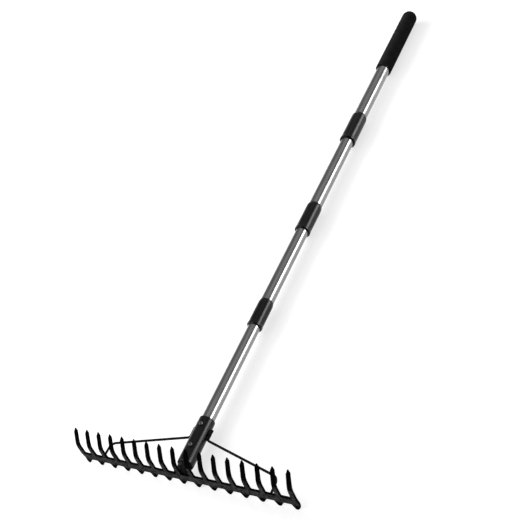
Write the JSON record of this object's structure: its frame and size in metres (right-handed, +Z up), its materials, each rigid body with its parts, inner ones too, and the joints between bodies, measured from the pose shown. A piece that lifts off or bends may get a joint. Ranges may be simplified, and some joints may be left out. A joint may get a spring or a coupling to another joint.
{
  "type": "bow rake",
  "caption": "Garden bow rake with a forged straight head of short curved tines, wire braces, and a telescoping stainless handle with black collars and a foam grip.",
  "frame": {"origin": "middle of the footprint on the ground, with the rake lying on its back", "axes": "+X along the bar, +Y along the handle from the head to the grip, +Z up, the way the tines point"},
  "size_m": [0.416, 1.3172, 0.0684],
  "materials": {
    "head_paint": "hammered charcoal paint over forged steel",
    "socket_paint": "semi-gloss black paint",
    "brace_paint": "satin black paint on round wire",
    "stainless": "fine brushed stainless tube",
    "collar_plastic": "satin black moulded plastic with fine flutes",
    "bush_plastic": "dark grey acetal",
    "nylon": "natural nylon",
    "screw_steel": "zinc-plated steel",
    "grip_foam": "matte black closed-cell foam"
  },
  "bodies": {
    "head": {"rake_head": "head_paint", "tang": "socket_paint", "socket": "socket_paint", "socket_screws": "screw_steel", "foot_plug": "nylon", "brace_left": "brace_paint", "brace_right": "brace_paint", "tube_1": "stainless", "end_plug_1": "nylon", "cap_screw_1": "screw_steel"},
    "lock_1": {"expander_1": "nylon"},
    "cone_1": {"cone_nut_1": "nylon"},
    "section_2": {"tube_2": "stainless", "collar_1": "collar_plastic", "guide_bush_1": "bush_plastic", "end_plug_2": "nylon", "cap_screw_2": "screw_steel"},
    "lock_2": {"expander_2": "nylon"},
    "cone_2": {"cone_nut_2": "nylon"},
    "section_3": {"tube_3": "stainless", "collar_2": "collar_plastic", "guide_bush_2": "bush_plastic", "end_plug_3": "nylon", "cap_screw_3": "screw_steel"},
    "lock_3": {"expander_3": "nylon"},
    "cone_3": {"cone_nut_3": "nylon"},
    "section_4": {"tube_4": "stainless", "collar_3": "collar_plastic", "guide_bush_3": "bush_plastic", "end_cap": "nylon", "grip": "grip_foam"}
  },
  "joints": [
    {"name": "twist_1", "type": "hinge", "parent": "head", "child": "lock_1", "pos_m": [0, -0.28905, 0.0189], "axis": [0, 1, 0], "range_deg": [0, 270]},
    {"name": "cone_travel_1", "type": "slide", "parent": "lock_1", "child": "cone_1", "axis": [0, -1, 0], "range_m": [0, 0.0016]},
    {"name": "slide_1", "type": "slide", "parent": "lock_1", "child": "section_2", "axis": [0, -1, 0], "range_m": [0, 0.182]},
    {"name": "twist_2", "type": "hinge", "parent": "section_2", "child": "lock_2", "pos_m": [0, -0.04955, 0.0189], "axis": [0, 1, 0], "range_deg": [0, 270]},
    {"name": "cone_travel_2", "type": "slide", "parent": "lock_2", "child": "cone_2", "axis": [0, -1, 0], "range_m": [0, 0.0016]},
    {"name": "slide_2", "type": "slide", "parent": "lock_2", "child": "section_3", "axis": [0, -1, 0], "range_m": [0, 0.176]},
    {"name": "twist_3", "type": "hinge", "parent": "section_3", "child": "lock_3", "pos_m": [0, 0.22565, 0.0189], "axis": [0, 1, 0], "range_deg": [0, 270]},
    {"name": "cone_travel_3", "type": "slide", "parent": "lock_3", "child": "cone_3", "axis": [0, -1, 0], "range_m": [0, 0.0016]},
    {"name": "slide_3", "type": "slide", "parent": "lock_3", "child": "section_4", "axis": [0, -1, 0], "range_m": [0, 0.197]}
  ],
  "couplings": [
    {"joint": "cone_travel_1", "follows": "twist_1", "m_per_rad": 0.00031831},
    {"joint": "cone_travel_2", "follows": "twist_2", "m_per_rad": 0.00031831},
    {"joint": "cone_travel_3", "follows": "twist_3", "m_per_rad": 0.00031831}
  ]
}
